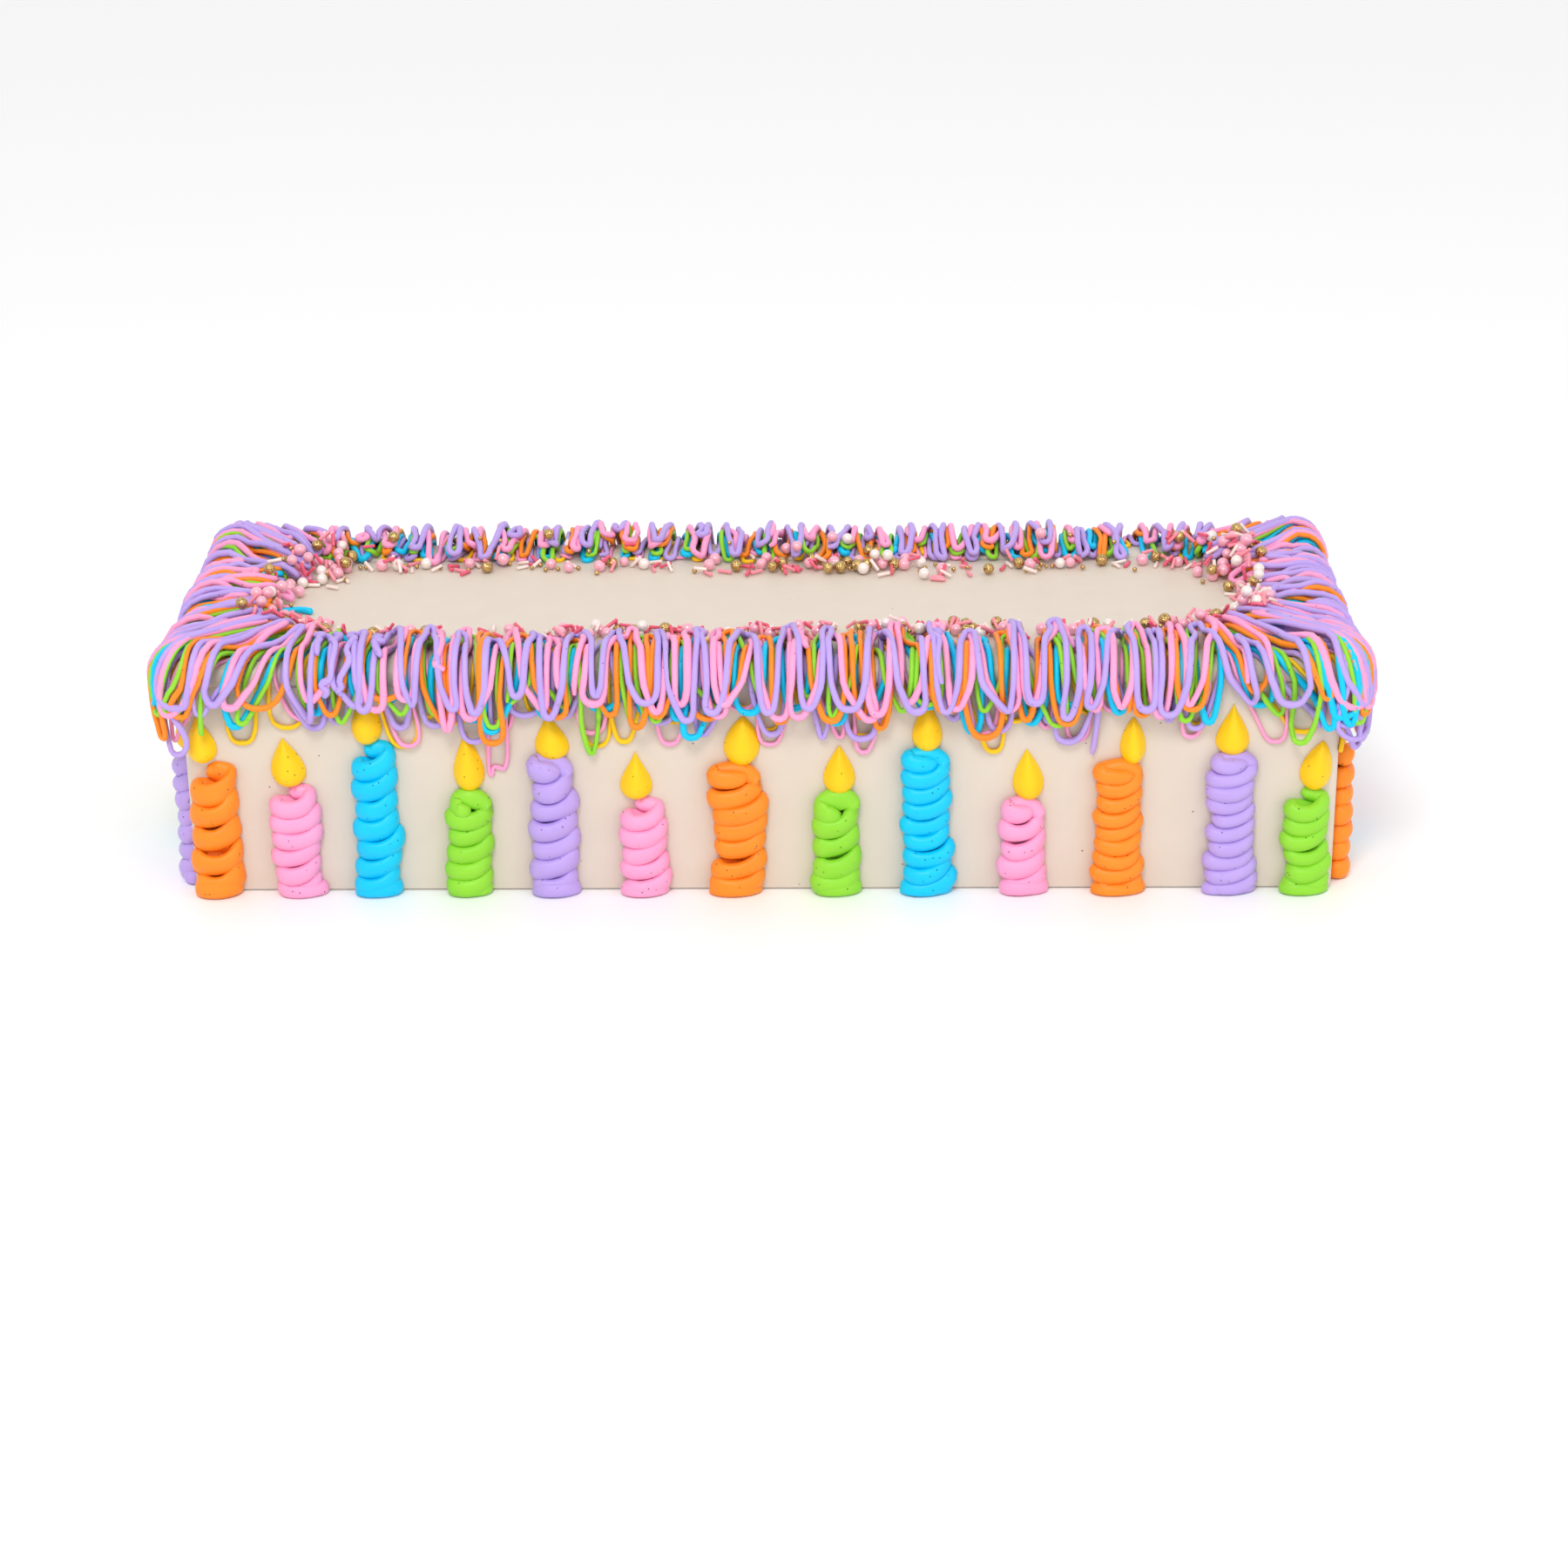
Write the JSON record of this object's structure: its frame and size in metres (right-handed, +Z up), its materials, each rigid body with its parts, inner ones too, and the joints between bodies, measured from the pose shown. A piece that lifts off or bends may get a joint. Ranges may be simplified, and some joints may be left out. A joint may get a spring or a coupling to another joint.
{
  "type": "birthday cake with candles",
  "caption": "Long rectangular iced birthday cake with piped coil candles along its walls and a fringe of icing strings over its top rim.",
  "frame": {"origin": "middle of the cake's flat underside", "axes": "+X along the long side, to the right when the front is faced; +Y from the front to the back; +Z up"},
  "size_m": [0.5043, 0.1787, 0.113],
  "materials": {
    "icing_white": "smooth off-white buttercream, soft satin",
    "icing_orange": "piped orange buttercream, soft satin",
    "icing_pink": "piped pink buttercream, soft satin",
    "icing_blue": "piped sky blue buttercream, soft satin",
    "icing_green": "piped apple green buttercream, soft satin",
    "icing_lavender": "piped lavender buttercream, soft satin",
    "icing_yellow": "piped yellow buttercream, soft satin",
    "icing_strings": "thin piped strings of lavender, pink, orange, green, blue and yellow buttercream",
    "sugar_pearl": "pearly sugar beads, pink and white",
    "sugar_gold": "gold-coated sugar beads",
    "sugar_sticks": "small pink and white sugar sticks"
  },
  "bodies": {
    "root": {"cake_body": "icing_white", "string_fringe": "icing_strings", "candle_back_01_blue": "icing_blue", "candle_back_02_pink": "icing_pink", "candle_back_03_green": "icing_green", "candle_back_04_orange": "icing_orange", "candle_back_05_lavender": "icing_lavender", "candle_back_06_blue": "icing_blue", "candle_back_07_pink": "icing_pink", "candle_back_08_green": "icing_green", "candle_back_09_orange": "icing_orange", "candle_back_10_lavender": "icing_lavender", "candle_back_11_pink": "icing_pink", "candle_back_12_blue": "icing_blue", "candle_back_13_green": "icing_green", "candle_front_01_orange": "icing_orange", "candle_front_02_pink": "icing_pink", "candle_front_03_blue": "icing_blue", "candle_front_04_green": "icing_green", "candle_front_05_lavender": "icing_lavender", "candle_front_06_pink": "icing_pink", "candle_front_07_orange": "icing_orange", "candle_front_08_green": "icing_green", "candle_front_09_blue": "icing_blue", "candle_front_10_pink": "icing_pink", "candle_front_11_orange": "icing_orange", "candle_front_12_lavender": "icing_lavender", "candle_front_13_green": "icing_green", "candle_left_01_pink": "icing_pink", "candle_left_02_green": "icing_green", "candle_left_03_blue": "icing_blue", "candle_left_04_lavender": "icing_lavender", "candle_right_01_orange": "icing_orange", "candle_right_02_blue": "icing_blue", "candle_right_03_pink": "icing_pink", "candle_right_04_lavender": "icing_lavender", "flame_front_01": "icing_yellow", "flame_front_02": "icing_yellow", "flame_front_03": "icing_yellow", "flame_front_04": "icing_yellow", "flame_front_05": "icing_yellow", "flame_front_06": "icing_yellow", "flame_front_07": "icing_yellow", "flame_front_08": "icing_yellow", "flame_front_09": "icing_yellow", "flame_front_10": "icing_yellow", "flame_front_11": "icing_yellow", "flame_front_12": "icing_yellow", "flame_front_13": "icing_yellow", "flame_left_01": "icing_yellow", "flame_left_02": "icing_yellow", "flame_left_03": "icing_yellow", "flame_left_04": "icing_yellow", "flame_right_01": "icing_yellow", "flame_right_02": "icing_yellow", "flame_right_03": "icing_yellow", "flame_right_04": "icing_yellow"}
  },
  "joints": []
}
